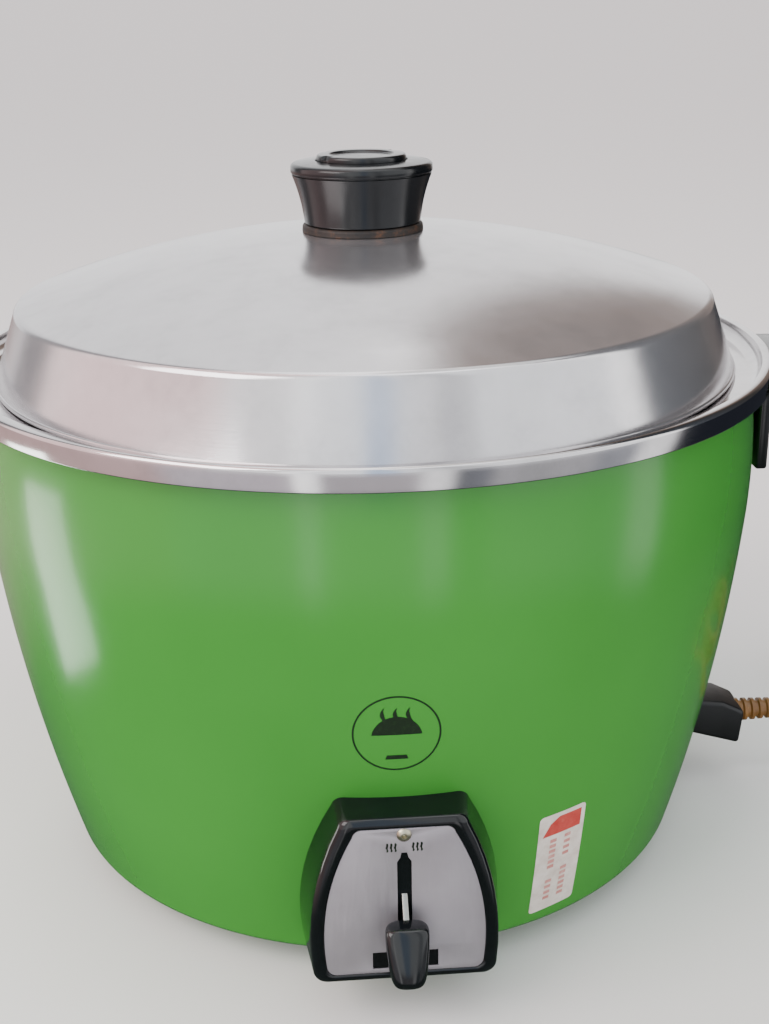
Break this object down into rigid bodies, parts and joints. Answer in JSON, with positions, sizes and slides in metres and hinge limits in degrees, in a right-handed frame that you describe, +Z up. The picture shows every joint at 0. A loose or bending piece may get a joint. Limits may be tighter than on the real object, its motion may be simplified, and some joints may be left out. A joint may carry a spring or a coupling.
{
  "type": "rice cooker",
  "caption": "Drum-shaped electric rice cooker with a domed lid, a lever switch panel, side handles and a detachable mains lead.",
  "frame": {"origin": "on the table plane at the drum's axis, under the four feet", "axes": "+Z up, -Y out of the control panel, +X towards the mains inlet"},
  "size_m": [0.47, 0.3152, 0.265],
  "materials": {
    "green_enamel": "gloss",
    "spun_aluminium": "polished",
    "lid_aluminium": "brushed",
    "zinc_steel": "satin",
    "screw_steel": "satin",
    "foot_rubber": "matte",
    "collar_rust": "matte",
    "bakelite": "satin",
    "gloss_bakelite": "gloss",
    "pot_steel": "satin",
    "cast_aluminium": "matte",
    "element_steel": "matte",
    "fuse_white": "matte",
    "mica_band": "matte",
    "satin_plate": "satin",
    "dark_window": "gloss",
    "brass_screw": "polished",
    "lamp_glass": "clear",
    "plated_lever": "satin",
    "switch_phenolic": "satin",
    "spring_steel": "satin",
    "contact_brass": "satin",
    "connector_rubber": "satin",
    "cord_brown": "satin",
    "wire_sleeve": "matte",
    "emblem_ink": "matte",
    "label_paper": "satin"
  },
  "bodies": {
    "cooker": {"outer_shell": "green_enamel", "rim_ring": "spun_aluminium", "cooking_well": "spun_aluminium", "base_plate": "zinc_steel", "base_screws": "screw_steel", "feet": "foot_rubber", "foot_screws": "screw_steel", "heater_plate": "cast_aluminium", "heating_element": "element_steel", "heater_clamp": "zinc_steel", "clamp_studs": "screw_steel", "clamp_nuts": "screw_steel", "thermostat": "zinc_steel", "thermal_fuse": "fuse_white", "keep_warm_band": "mica_band", "control_housing": "gloss_bakelite", "fascia_plate": "satin_plate", "lamp_window": "dark_window", "fascia_screw": "brass_screw", "pilot_lamp": "lamp_glass", "pivot_pin": "screw_steel", "switch_bracket": "zinc_steel", "switch_base": "switch_phenolic", "plunger_spring": "spring_steel", "switch_contacts": "contact_brass", "handle_right": "bakelite", "handle_left": "bakelite", "handle_screws": "screw_steel", "inlet_block": "switch_phenolic", "inlet_prongs": "contact_brass", "mains_wires": "wire_sleeve", "heater_wires": "wire_sleeve", "emblem_print": "emblem_ink", "blank_label": "label_paper"},
    "lid": {"lid_shell": "lid_aluminium", "knob_collar": "collar_rust", "lid_knob": "bakelite", "knob_cap": "bakelite", "knob_screw": "screw_steel"},
    "pot": {"inner_pot": "pot_steel"},
    "lever": {"lever_arm": "plated_lever", "lever_knob": "gloss_bakelite"},
    "plunger": {"switch_plunger": "switch_phenolic"},
    "cord_set": {"connector_body": "connector_rubber", "connector_contacts": "contact_brass", "cord_relief": "cord_brown", "cord_lead": "cord_brown", "cord_tail": "cord_brown", "cord_coil": "cord_brown", "plug_body": "connector_rubber", "plug_blades": "contact_brass"}
  },
  "joints": [
    {"name": "lid_lift", "type": "slide", "parent": "cooker", "child": "lid", "axis": [0, 0, 1], "range_m": [0, 0.3]},
    {"name": "pot_lift", "type": "slide", "parent": "cooker", "child": "pot", "axis": [0, 0, 1], "range_m": [0, 0.15]},
    {"name": "lever_swing", "type": "hinge", "parent": "cooker", "child": "lever", "pos_m": [0, -0.131, 0.058], "axis": [-1, 0, 0], "range_deg": [0, 32]},
    {"name": "plunger_travel", "type": "slide", "parent": "cooker", "child": "plunger", "axis": [0, -1, 0], "range_m": [0, 0.0041], "deforming": ["plunger_spring"]},
    {"name": "connector_pull", "type": "slide", "parent": "cooker", "child": "cord_set", "axis": [1, 0, 0], "range_m": [0, 0.022]}
  ],
  "couplings": [
    {"joint": "pot_lift", "follows": "lid_lift", "ratio": 0.5},
    {"joint": "plunger_travel", "follows": "lever_swing", "m_per_rad": 0.00716}
  ]
}
